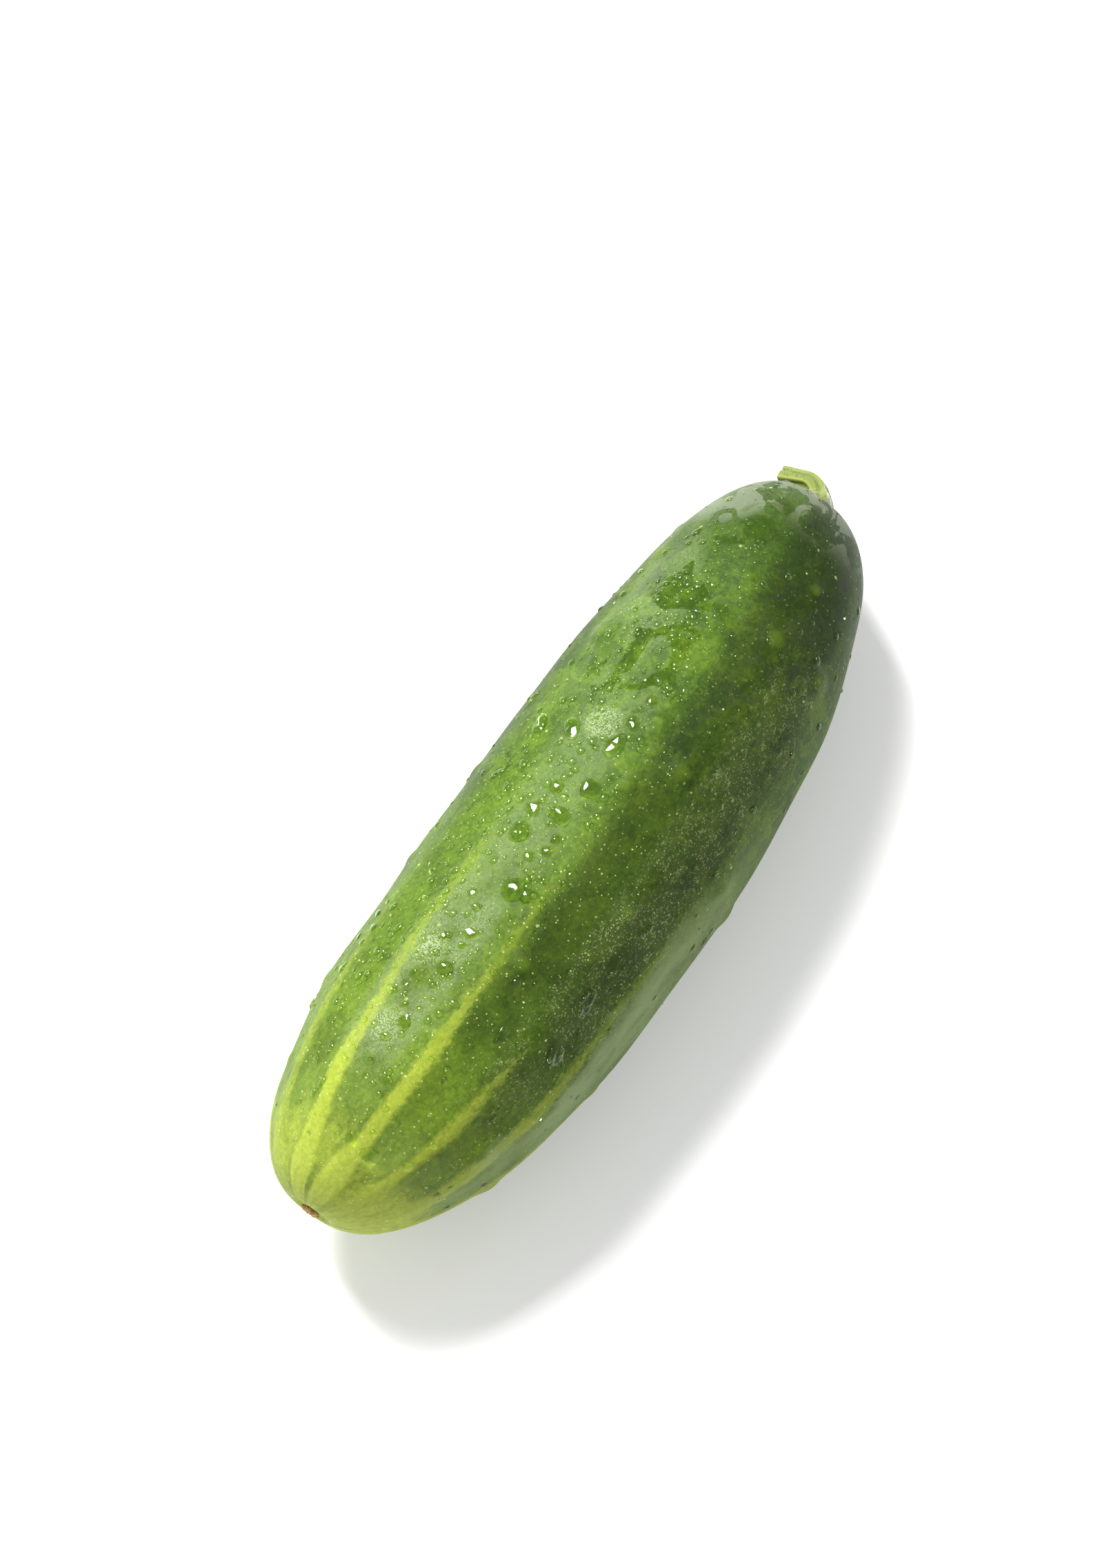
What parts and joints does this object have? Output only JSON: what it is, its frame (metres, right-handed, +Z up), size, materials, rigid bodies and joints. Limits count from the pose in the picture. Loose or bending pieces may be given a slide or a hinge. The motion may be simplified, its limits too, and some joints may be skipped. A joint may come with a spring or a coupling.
{
  "type": "cucumber",
  "caption": "Whole fresh cucumber lying on its side: blunt, slightly bowed, striped and warty, with a short cut stalk at one end.",
  "frame": {"origin": "on the surface that the cucumber lies on, under the middle of its box", "axes": "+X along the fruit from the blossom end to the stalk, +Z up from the surface it lies on, +Y to the side that both ends lean to"},
  "size_m": [0.1734, 0.0552, 0.053],
  "materials": {
    "skin": "waxy green skin with paler stripes, wet",
    "stalk": "ribbed pale green stem",
    "remnant": "dry brown plant tissue"
  },
  "bodies": {
    "root": {"fruit": "skin", "stalk": "stalk", "blossom_remnant": "remnant"}
  },
  "joints": []
}
